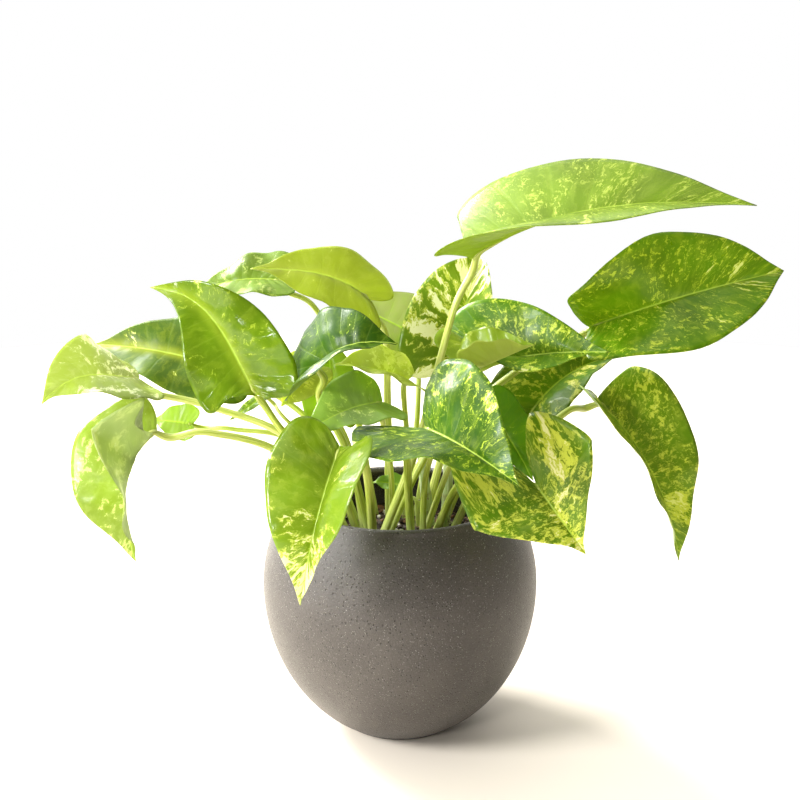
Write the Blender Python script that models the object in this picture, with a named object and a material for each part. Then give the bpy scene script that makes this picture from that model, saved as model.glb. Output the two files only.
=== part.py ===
"""A pothos in a round stoneware planter: the pot, the potting mix, the leaf blades and the leaf stalks.

Metres, +Z up, -Y at the front. The origin is the centre of the pot's foot. Every size below is in
millimetres and every angle in degrees; MM turns them into metres where a mesh or a curve is made.
"""

import math
from dataclasses import dataclass

import bmesh
import bpy
from mathutils import Vector

MM = 0.001
GAP = 0.3

# The pot: a ball with a flattened foot and a wide mouth.
POT_RADIUS = 75.0
POT_BELLY_HEIGHT = 80.0
POT_HEIGHT = 128.0
POT_LOWER_DEPTH = 88.0
POT_WALL = 5.0
POT_FLOOR = 8.0
POT_FOOT_ROUND = 1.5
POT_LIP_DROP = 2.0
POT_LIP_FLAT = 1.2
POT_FLOOR_ROUND = 6.0
POT_SIDES = 40
POT_OUTER_RINGS = 15
POT_INNER_RINGS = 12

# The potting mix stands a little below the rim and is slightly domed.
SOIL_EDGE_HEIGHT = 103.0
SOIL_DOME = 4.0
SOIL_GAP = 0.6
SOIL_WALL_RINGS = 11
SOIL_TOP_SHARES = (0.8, 0.55, 0.3)

# The blades: one closed shell each, and the stalks, tapered tubes.
BLADE_THICKNESS = 0.8
BLADE_ROWS = 11
BLADE_COLUMNS = 3
STALK_POINTS = 11
STALK_END_RADIUS = 1.2
# A stalk bends at a knee just under the blade and meets it partly from below.
KNEE_LENGTH = 8.0
UPRIGHT_ARRIVAL = 0.8

POT_COLOUR = (0.17, 0.16, 0.15)
SOIL_COLOUR = (0.035, 0.022, 0.015)
BLADE_COLOUR = (0.12, 0.30, 0.03)
STALK_COLOUR = (0.35, 0.55, 0.12)
VINE_COLOUR = (0.45, 0.55, 0.25)

# Half of a heart-shaped blade, from the notch round the lobe to the tip. The first number of each pair
# is a share of the blade's width, the second a share of its length, or of the lobe where it is negative.
HALF_OUTLINE = (
    (0.00, 0.00),
    (0.12, -0.62),
    (0.28, -1.00),
    (0.42, -0.55),
    (0.495, 0.10),
    (0.475, 0.32),
    (0.375, 0.53),
    (0.228, 0.72),
    (0.08, 0.88),
    (0.00, 1.00),
)
# How the starts of the side veins crowd towards the notch.
VEIN_CROWDING = 1.8
# How far along a blade the extra fold of its lobes dies away.
LIFT_REACH = 0.6


@dataclass
class Leaf:
    """A blade from its notch to its tip, and the stalk that carries it."""

    name: str
    notch: tuple
    tip: tuple
    faces: tuple
    width: float
    stalk: tuple
    lobe: float = 10.0
    uneven: float = 0.0
    belly: float = 0.0
    bow: float = 0.06
    sweep: float = 0.0
    lean: float = 0.0
    fold_left: float = 20.0
    fold_right: float = 20.0
    lift_left: float = 0.0
    lift_right: float = 0.0
    curl_left: float = -18.0
    curl_right: float = -18.0
    stalk_radius: float = 2.2


LEAVES = (
    Leaf("top_right", (35, -20, 259), (166, -57, 287), (-0.1, -0.5, 1), 76,
         ((-10, -9), (9, -15, 160), (20, -19, 205), (28, -20, 235)),
         lobe=1, bow=0.1, lean=0.2, belly=0.03, fold_left=27, fold_right=24, lift_left=4,
         lift_right=26),
    Leaf("right_big", (101, 10, 219), (203, 10, 249), (-0.1, -0.85, 0.5), 76,
         ((-6, -1), (12, -2, 148), (34, 4, 173), (68, 8, 199)),
         lobe=4, bow=0.05, belly=0.14, fold_left=22, lift_left=56, lift_right=24, curl_left=-8,
         curl_right=-8),
    Leaf("right_middle", (40, 6, 195), (105, -30, 213), (-0.1, -0.35, 0.93), 70,
         ((14, 24), (24, 20, 147), (34, 14, 173)),
         lobe=5, belly=-0.04, bow=0.06, lean=0.3, fold_left=60, fold_right=12, lift_left=14,
         lift_right=72),
    Leaf("upright_streaked", (27, 48, 187), (46, 60, 252), (-0.15, -1, 0.3), 64,
         ((10, 38), (19, 46, 157)), bow=0.04, lobe=8, belly=0.2, fold_right=62),
    Leaf("right_back", (71, 16, 169), (127, 36, 199), (-0.4, -0.8, 0.45), 58,
         ((24, 16), (38, 16, 139), (56, 17, 158)),
         fold_left=14, fold_right=52, sweep=-0.1),
    Leaf("right_front", (67, -55, 151), (90, -72, 121), (0, -1, 0.15), 78,
         ((18, -6), (32, -20, 142), (52, -38, 150)),
         lobe=36, uneven=9, belly=-0.2, fold_left=40, fold_right=30, curl_left=-24, curl_right=-30),
    Leaf("front_behind", (44, -28, 185), (68, -36, 147), (0.3, -0.9, 0.3), 30,
         ((14, 2), (26, -10, 147), (38, -22, 175)), lobe=6, stalk_radius=1.8),
    Leaf("front_middle", (12, -55, 180), (53, -110, 167), (-0.15, -0.62, 0.78), 76,
         ((6, -5), (4, -22, 147), (4, -40, 169)),
         lobe=20, uneven=10, fold_left=42, fold_right=38, lift_right=-14, curl_left=-10),
    Leaf("right_hanging", (104, -5, 183), (147, -25, 100), (0.55, -0.8, 0.3), 72,
         ((28, 0), (50, -8, 154), (76, -17, 171), (89, -13, 179)),
         lobe=3, bow=0.13, fold_right=40, curl_left=-6, curl_right=10),
    Leaf("left_centre", (-73, -25, 189), (-128, -12, 243), (-0.1, -1, 0.4), 55,
         ((-22, -6), (-36, -14, 147), (-58, -22, 167)),
         lobe=1, uneven=7, sweep=0.14, bow=0.05, lean=-0.6, fold_left=18, fold_right=26,
         curl_left=-14),
    Leaf("left_far", (-136, -10, 195), (-176, -48, 190), (-0.1, -0.4, 1), 50,
         ((-30, 8), (-56, 0, 157), (-100, -6, 179)),
         lobe=4, bow=0.16, lean=-0.5, belly=0.08, fold_left=0, fold_right=62, lift_right=-46),
    Leaf("left_back", (-90, 30, 190), (-180, 60, 200), (-0.2, -0.7, 0.75), 54,
         ((-24, 20), (-46, 26, 157), (-72, 30, 179)), bow=0.08, stalk_radius=1.9),
    Leaf("left_hanging", (-122, -38, 174), (-131, -60, 113), (-0.6, -0.8, 0.2), 66,
         ((-30, -10), (-58, -22, 155), (-96, -34, 172)),
         lobe=0, uneven=9, bow=0.22, lean=0.2, fold_left=42, fold_right=40, lift_left=78,
         curl_left=0),
    Leaf("top_left_back", (-67, 50, 239), (-116, 62, 231), (-0.1, -0.5, 1), 46,
         ((-14, 34), (-30, 44, 187), (-48, 50, 223)), bow=0.08, stalk_radius=1.8),
    Leaf("top_left", (-16, 20, 232), (-79, 10, 250), (0.1, -0.5, 1), 42,
         ((-6, 26), (-7, 25, 177), (-8, 22, 213)), bow=0.12, lean=0.3, fold_left=-12, fold_right=34),
    Leaf("middle_dark", (-42, -40, 205), (-1, -52, 221), (-0.3, -0.6, 0.8), 58,
         ((-16, -8), (-28, -14, 157), (-41, -23, 186)),
         lobe=16, uneven=-9, bow=0.2, fold_left=26, fold_right=46, curl_left=-30, curl_right=-30),
    Leaf("left_small_mottled", (-46, -6, 200), (-62, -15, 181), (-0.2, -1, 0.3), 28,
         ((-20, 6), (-28, 0, 157), (-42, -6, 183)), lobe=5, stalk_radius=1.7),
    Leaf("back_grey_green", (13, 66, 203), (-34, 68, 226), (0, -1, 0.35), 44,
         ((4, 42), (10, 56, 157)), stalk_radius=1.8),
    Leaf("middle_small", (-9, -21, 185), (-48, -47, 174), (-0.2, -0.6, 0.8), 42,
         ((-4, 8), (-5, -4, 147)), lobe=4, bow=0.1, fold_left=12, curl_left=0, curl_right=0,
         stalk_radius=1.7),
    Leaf("middle_lime", (4, 4, 191), (-34, -14, 203), (0, -0.3, 1), 40,
         ((3, 26), (4, 20, 150)), lobe=6, fold_right=32, stalk_radius=1.8),
    Leaf("front_hanging", (-29, -60, 172), (-47, -90, 102), (-0.2, -1, 0.3), 62,
         ((-14, -20), (-16, -40, 147), (-20, -54, 169)),
         lobe=2, uneven=7, bow=0.12, fold_left=60, fold_right=22, curl_left=-24, curl_right=-24),
    Leaf("back_olive", (-37, 20, 171), (-40, 35, 212), (0, -1, 0.3), 34,
         ((-20, 18), (-28, 20, 147)), stalk_radius=1.7),
    Leaf("mouth_young", (2, 12, 130), (-16, 14, 131), (0, -0.7, 0.7), 12,
         ((10, 8), (9, 11, 121)), lobe=2, stalk_radius=1.2),
    Leaf("left_curled_back", (-115, 20, 163), (-138, 25, 164), (0, -0.8, 0.5), 22,
         ((-34, 20), (-56, 19, 151), (-92, 20, 160)), lobe=3, stalk_radius=1.6),
    Leaf("left_narrow", (-72, 0, 184), (-93, 4, 168), (0, -1, 0.3), 6,
         ((-24, 4), (-40, 0, 147), (-62, -4, 173)), lobe=1, stalk_radius=1.2),
    Leaf("right_cupped", (38, -35, 206), (66, -43, 219), (-0.4, 0, 0.92), 38,
         ((12, -12), (14, -19, 147), (25, -34, 178)),
         lobe=5, bow=0.0, fold_left=64, fold_right=52, curl_left=-6, curl_right=-8, stalk_radius=1.6),
)

# The bare vines: a foot on the mix, then the places that each one climbs through.
VINES = {
    "vine_left": ((17, 10), (14, 7, 128), (12, 5, 148), (10, 3, 162)),
    "vine_right": ((24, 6), (26, 3, 128), (26, 1, 148), (28, -2, 160)),
}
VINE_RADIUS = 3.1
VINE_TIP_RADIUS = 1.6
VINE_POINTS = 8


def clear_scene():
    for old in list(bpy.data.objects):
        bpy.data.objects.remove(old, do_unlink=True)


def add_material(owner, name, colour, roughness):
    """A plain Principled material of this colour, added to the object."""
    material = bpy.data.materials.new(name)
    material.use_nodes = True
    shader = material.node_tree.nodes["Principled BSDF"]
    shader.inputs["Base Color"].default_value = (*colour, 1.0)
    shader.inputs["Roughness"].default_value = roughness
    owner.data.materials.append(material)


def smooth_path(stops, count):
    """This many points, evenly spread over a smooth curve through the stops."""
    stops = [Vector(stop) for stop in stops]
    ends = [2 * stops[0] - stops[1], *stops, 2 * stops[-1] - stops[-2]]
    points = []
    for step in range(count):
        place = step / (count - 1) * (len(stops) - 1)
        index = min(int(place), len(stops) - 2)
        t = place - index
        a, b, c, d = ends[index : index + 4]
        points.append(
            b
            + 0.5 * t * (c - a)
            + 0.5 * t * t * (2 * a - 5 * b + 4 * c - d)
            + 0.5 * t**3 * (3 * b - a - 3 * c + d)
        )
    return points


def blade_frame(leaf):
    """The blade's notch, length, and unit axes: along it, to its right, and out of its upper face."""
    notch = Vector(leaf.notch)
    chord = Vector(leaf.tip) - notch
    along = chord.normalized()
    upper = Vector(leaf.faces)
    upper = (upper - along * upper.dot(along)).normalized()
    return notch, chord.length, along, along.cross(upper), upper


def arch(v, lean):
    """How far a blade's midrib stands off its chord, 1 at the middle, and the slope of that there."""
    if v < 0:
        return 4 * (1 + lean) * v, 4 * (1 + lean)
    height = 4 * v * (1 - v) * (1 + lean - 2 * lean * v)
    slope = 4 * ((1 - 2 * v) * (1 + lean - 2 * lean * v) - 2 * lean * v * (1 - v))
    return height, slope


def blade_point(leaf, x, y):
    """Where a point of the flat blade lies, x to the right of the midrib and y along it."""
    notch, length, along, right, upper = blade_frame(leaf)
    v = y / length
    height, slope = arch(v, leaf.lean)
    bulge = upper * leaf.bow + right * leaf.sweep
    middle = notch + along * y + bulge * height * length
    tangent = (along + bulge * slope).normalized()
    normal = (upper - tangent * upper.dot(tangent)).normalized()
    side = tangent.cross(normal)
    fold, lift, curl = (
        (leaf.fold_right, leaf.lift_right, leaf.curl_right)
        if x > 0
        else (leaf.fold_left, leaf.lift_left, leaf.curl_left)
    )
    nearness = min(1.0, max(0.0, 1 - v / LIFT_REACH))
    fold = math.radians(fold + lift * nearness * nearness * (3 - 2 * nearness))
    bend = math.radians(curl) / (leaf.width / 2)
    reach = abs(x)
    if abs(bend) < 1e-6:
        across, rise = reach * math.cos(fold), reach * math.sin(fold)
    else:
        across = (math.sin(fold + bend * reach) - math.sin(fold)) / bend
        rise = (math.cos(fold) - math.cos(fold + bend * reach)) / bend
    return middle + side * math.copysign(across, x) + normal * rise


def blade_half(leaf, side, rows, columns):
    """Flat points of one half, side 1 to the right: for each row, from the midrib out to the margin."""
    length = blade_frame(leaf)[1]
    lobe = leaf.lobe + side * leaf.uneven
    corners = []
    for share, down in HALF_OUTLINE:
        if down > 0:
            y = (down + 4 * leaf.belly * down * (1 - down)) * length
        else:
            y = down * lobe
        corners.append((side * share * leaf.width, y, 0.0))
    margin = smooth_path(corners, rows + 1)
    half = []
    for row in range(1, rows):
        start = length * (row / rows) ** VEIN_CROWDING
        edge = margin[row]
        half.append(
            [
                (edge.x * column / columns, start + (edge.y - start) * column / columns)
                for column in range(columns + 1)
            ]
        )
    return half


def add_blade(leaf):
    """One closed, thin shell: the curved sheet, thickened evenly on both sides."""
    length = blade_frame(leaf)[1]
    sheet = bmesh.new()
    notch = sheet.verts.new(blade_point(leaf, 0, 0) * MM)
    tip = sheet.verts.new(blade_point(leaf, 0, length) * MM)
    lines = []
    left_half = blade_half(leaf, -1, BLADE_ROWS, BLADE_COLUMNS)
    right_half = blade_half(leaf, 1, BLADE_ROWS, BLADE_COLUMNS)
    for left_row, right_row in zip(left_half, right_half):
        row = left_row[:0:-1] + right_row
        lines.append([sheet.verts.new(blade_point(leaf, x, y) * MM) for x, y in row])
    for low, high in zip(lines, lines[1:]):
        for i in range(len(low) - 1):
            sheet.faces.new((low[i], low[i + 1], high[i + 1], high[i]))
    for i in range(2 * BLADE_COLUMNS):
        sheet.faces.new((notch, lines[0][i + 1], lines[0][i]))
        sheet.faces.new((tip, lines[-1][i], lines[-1][i + 1]))
    mesh = bpy.data.meshes.new("leaf_" + leaf.name)
    bmesh.ops.recalc_face_normals(sheet, faces=sheet.faces)
    sheet.to_mesh(mesh)
    sheet.free()
    mesh.shade_smooth()
    blade = bpy.data.objects.new("leaf_" + leaf.name, mesh)
    bpy.context.scene.collection.objects.link(blade)
    shell = blade.modifiers.new("thickness", "SOLIDIFY")
    shell.thickness = BLADE_THICKNESS * MM
    shell.offset = 0.0
    add_material(blade, blade.name, BLADE_COLOUR, 0.35)


def soil_height(x, y):
    return SOIL_EDGE_HEIGHT + SOIL_DOME * max(0.0, 1 - (x * x + y * y) / POT_MOUTH_RADIUS**2)


def foot_on_soil(foot, first_stop, radius):
    """The centre of a tube's lowest end, raised so that its rim clears the mix by the gap."""
    x, y = foot
    climb = (Vector(first_stop) - Vector((x, y, SOIL_EDGE_HEIGHT))).normalized()
    return (x, y, soil_height(x, y) + GAP + radius * math.sqrt(1 - climb.z**2))


def stalk_path(leaf):
    """The stalk's smooth centre line, from just above the mix to just under the blade's notch."""
    notch, _, along, _, upper = blade_frame(leaf)
    # The arch of the midrib tips the blade's base up, so the stalk meets a face turned towards it.
    upper = (upper - along * arch(0, 0)[1] * leaf.bow).normalized()
    foot, *stops = leaf.stalk
    arrival = (notch - Vector(stops[-1])).normalized()
    arrival = (arrival + UPRIGHT_ARRIVAL * upper).normalized()
    slant = arrival.dot(upper)
    back = (BLADE_THICKNESS / 2 + GAP + STALK_END_RADIUS * math.sqrt(1 - slant * slant)) / slant
    knee = notch - arrival * KNEE_LENGTH
    end = notch - arrival * back
    start = foot_on_soil(foot, stops[0], leaf.stalk_radius)
    return smooth_path([start, *stops, knee, end], STALK_POINTS)


def add_tube(name, path, radius, end_radius, colour):
    """A round tube with filled ends that thins out over its last stretch."""
    curve = bpy.data.curves.new(name, "CURVE")
    curve.dimensions = "3D"
    curve.bevel_depth = MM
    curve.bevel_resolution = 1
    curve.use_fill_caps = True
    spline = curve.splines.new("POLY")
    spline.points.add(len(path) - 1)
    for index, (point, place) in enumerate(zip(spline.points, path)):
        point.co = (*(place * MM), 1.0)
        share = index / (len(path) - 1)
        point.radius = radius + (end_radius - radius) * share**3
    tube = bpy.data.objects.new(name, curve)
    bpy.context.scene.collection.objects.link(tube)
    add_material(tube, name, colour, 0.4)


def add_stalk(leaf):
    add_tube(
        "petiole_" + leaf.name, stalk_path(leaf), leaf.stalk_radius, STALK_END_RADIUS, STALK_COLOUR
    )


def add_vine(name, foot, stops):
    path = smooth_path([foot_on_soil(foot, stops[0], VINE_RADIUS), *stops], VINE_POINTS)
    add_tube(name, path, VINE_RADIUS, VINE_TIP_RADIUS, VINE_COLOUR)


def pot_radius(height):
    """The outer radius of the pot at this height."""
    depth = POT_LOWER_DEPTH if height < POT_BELLY_HEIGHT else POT_RADIUS
    return POT_RADIUS * math.sqrt(1 - ((height - POT_BELLY_HEIGHT) / depth) ** 2)


POT_MOUTH_RADIUS = pot_radius(POT_HEIGHT) - POT_WALL


def turned(name, profile, sides):
    """A closed solid of revolution. The profile runs (radius, height) from the axis, out and back."""
    lathe = bmesh.new()
    rings = []
    for radius, height in profile:
        if radius == 0:
            rings.append([lathe.verts.new((0, 0, height * MM))] * sides)
            continue
        ring = []
        for side in range(sides):
            angle = 2 * math.pi * side / sides
            ring.append(
                lathe.verts.new((radius * math.cos(angle) * MM, radius * math.sin(angle) * MM, height * MM))
            )
        rings.append(ring)
    for low, high in zip(rings, rings[1:]):
        for side in range(sides):
            after = (side + 1) % sides
            corners = dict.fromkeys((low[side], low[after], high[after], high[side]))
            lathe.faces.new(tuple(corners))
    mesh = bpy.data.meshes.new(name)
    bmesh.ops.recalc_face_normals(lathe, faces=lathe.faces)
    lathe.to_mesh(mesh)
    lathe.free()
    mesh.shade_smooth()
    thing = bpy.data.objects.new(name, mesh)
    bpy.context.scene.collection.objects.link(thing)
    return thing


def heights_between(low, high, count):
    return [low + (high - low) * step / (count - 1) for step in range(count)]


def add_pot():
    shoulder = POT_HEIGHT - POT_LIP_DROP
    foot = [(0, 0), (pot_radius(POT_FOOT_ROUND) - POT_FOOT_ROUND, 0)]
    outside = [(pot_radius(z), z) for z in heights_between(POT_FOOT_ROUND, shoulder, POT_OUTER_RINGS)]
    lip_middle = pot_radius(POT_HEIGHT) - POT_WALL / 2
    lip = [(lip_middle + POT_LIP_FLAT, POT_HEIGHT), (lip_middle - POT_LIP_FLAT, POT_HEIGHT)]
    corner = POT_FLOOR + POT_FLOOR_ROUND
    inside = [(pot_radius(z) - POT_WALL, z) for z in heights_between(shoulder, corner, POT_INNER_RINGS)]
    floor = [(pot_radius(POT_FLOOR) - POT_WALL - POT_FLOOR_ROUND / 2, POT_FLOOR), (0, POT_FLOOR)]
    pot = turned("pot", foot + outside + lip + inside + floor, POT_SIDES)
    add_material(pot, "pot", POT_COLOUR, 0.6)


def add_soil():
    base = POT_FLOOR + POT_FLOOR_ROUND + SOIL_GAP
    heights = heights_between(base, SOIL_EDGE_HEIGHT, SOIL_WALL_RINGS)
    wall = [(pot_radius(z) - POT_WALL - SOIL_GAP, z) for z in heights]
    top = []
    for share in SOIL_TOP_SHARES:
        radius = wall[-1][0] * share
        top.append((radius, soil_height(radius, 0)))
    profile = [(0, base), *wall, *top, (0, soil_height(0, 0))]
    soil = turned("potting_soil", profile, POT_SIDES)
    add_material(soil, "potting_soil", SOIL_COLOUR, 0.9)


def main():
    clear_scene()
    add_pot()
    add_soil()
    for leaf in LEAVES:
        add_blade(leaf)
        add_stalk(leaf)
    for name, (foot, *stops) in VINES.items():
        add_vine(name, foot, stops)


main()
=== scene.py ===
"""Looks of a potted pothos: its leaf blades, leaf stalks and vines, the stoneware pot and the potting mix.

Sizes are in millimetres and angles in degrees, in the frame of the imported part. MM turns them into metres.
"""

import math
from dataclasses import dataclass

import bmesh
import bpy
import numpy as np
from mathutils import Matrix, Vector, noise


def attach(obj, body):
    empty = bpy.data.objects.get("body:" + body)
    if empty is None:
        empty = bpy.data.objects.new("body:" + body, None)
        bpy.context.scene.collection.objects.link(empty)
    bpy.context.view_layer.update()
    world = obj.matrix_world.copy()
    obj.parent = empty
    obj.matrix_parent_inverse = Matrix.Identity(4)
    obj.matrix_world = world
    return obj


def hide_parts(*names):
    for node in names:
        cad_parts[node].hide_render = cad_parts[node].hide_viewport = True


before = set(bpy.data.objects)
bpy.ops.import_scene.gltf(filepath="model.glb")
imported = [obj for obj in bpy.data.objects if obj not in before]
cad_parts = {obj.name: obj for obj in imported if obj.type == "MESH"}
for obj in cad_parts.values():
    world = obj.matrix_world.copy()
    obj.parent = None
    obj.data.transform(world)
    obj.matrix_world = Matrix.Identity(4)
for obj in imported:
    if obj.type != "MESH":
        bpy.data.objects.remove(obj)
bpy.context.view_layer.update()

MM = 0.001
BODY = "root"

# The pot's profile, as in the part: a ball over a deeper lower half, with a flattened foot.
POT_RADIUS = 75.0
POT_BELLY_HEIGHT = 80.0
POT_HEIGHT = 128.0
POT_LOWER_DEPTH = 88.0
POT_WALL = 5.0
POT_FLOOR = 8.0
POT_SIDES = 144
POT_INNER_ROUND = 9.0
FOOT_ROUND = 2.2
FOOT_RING = 13.0
FOOT_BEVEL = 3.0
FOOT_HOLLOW = 0.6

# The mix: its lower edge, its gap to the pot, and its crumbly top.
SOIL_BASE = 14.6
SOIL_GAP = 0.6
SOIL_EDGE_HEIGHT = 103.0
SOIL_DOME = 4.0
SOIL_RINGS = 46
LUMP_SIZE = 5.0
LUMP_HEIGHT = 1.5
DIP_SIZE = 13.0
DIP_DEPTH = 1.2
SETTLED = 0.4
ROOTS = 46
ROOT_STEP = 3.4
ROOT_RINGS = 20
ROOT_RADIUS = 0.34
ROOT_TIP_RADIUS = 0.16

# The blades. Rows follow the side veins, from the midrib out to the margin.
HALF_THICKNESS = 0.24
MARGIN_HALF_THICKNESS = 0.1
SIDE_VEINS = 11
ROWS_PER_VEIN = 5
BLADE_COLUMNS = 18
COLUMN_CROWDING = 1.45
VEIN_CROWDING = 1.8
LIFT_REACH = 0.6
CREASE_ROUND = 1.6
QUILT_HEIGHT = 0.24
MIDRIB_GROOVE = 0.3
MIDRIB_RIDGE = 0.95
MIDRIB_HALF_WIDTH = 1.1

# Waves along each margin, and a slow and a quick swell of each half, which fade out at the midrib.
MARGIN_WAVES = 2.6
SLOW_SWELL_LENGTH = 17.0
SLOW_SWELL_HEIGHT = 1.6
QUICK_SWELL_WIDTH = 6.0
QUICK_SWELL_LENGTH = 5.0
QUICK_SWELL_HEIGHT = 0.32

# The stalks. The thicknesses are shares of the leaf's stalk radius, except at the end, under the blade.
STALK_FOOT_SHARE = 1.1
STALK_KNEE_SHARE = 0.84
STALK_END_RADIUS = 0.35
KNEE_SWELLING = 0.12
CHANNEL_DEPTH_AT_FOOT = 0.3
CHANNEL_DEPTH_AT_KNEE = 0.12
FOOT_DEPTH = 3.0
STALK_RINGS = 60
STALK_SIDES = 14
KNEE_LENGTH = 8.0
UPRIGHT_ARRIVAL = 0.8

# Half of a heart-shaped blade, from the notch round the lobe to the tip. The first number of each pair
# is a share of the blade's width, the second a share of its length, or of the lobe where it is negative.
HALF_OUTLINE = (
    (0.00, 0.00),
    (0.12, -0.62),
    (0.28, -1.00),
    (0.42, -0.55),
    (0.495, 0.10),
    (0.475, 0.32),
    (0.375, 0.53),
    (0.228, 0.72),
    (0.08, 0.88),
    (0.00, 1.00),
)


@dataclass
class Leaf:
    """A blade from its notch to its tip, and the stalk that carries it.

    faces points out of its upper side. lobe is how far the lobes reach behind the notch, and uneven what
    the left one gives to the right one. belly moves the broadest part towards the tip. bow and sweep
    arch the midrib up and sideways, as shares of its length, and lean moves the top of that arch towards
    the notch.
    fold raises a half from the midrib, lift adds to that near the notch, and curl bends it across.
    stalk holds the foot on the mix, then the places that the stalk passes.
    """

    name: str
    notch: tuple
    tip: tuple
    faces: tuple
    width: float
    stalk: tuple
    lobe: float = 10.0
    uneven: float = 0.0
    belly: float = 0.0
    bow: float = 0.06
    sweep: float = 0.0
    lean: float = 0.0
    fold_left: float = 20.0
    fold_right: float = 20.0
    lift_left: float = 0.0
    lift_right: float = 0.0
    curl_left: float = -18.0
    curl_right: float = -18.0
    stalk_radius: float = 2.2


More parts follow.
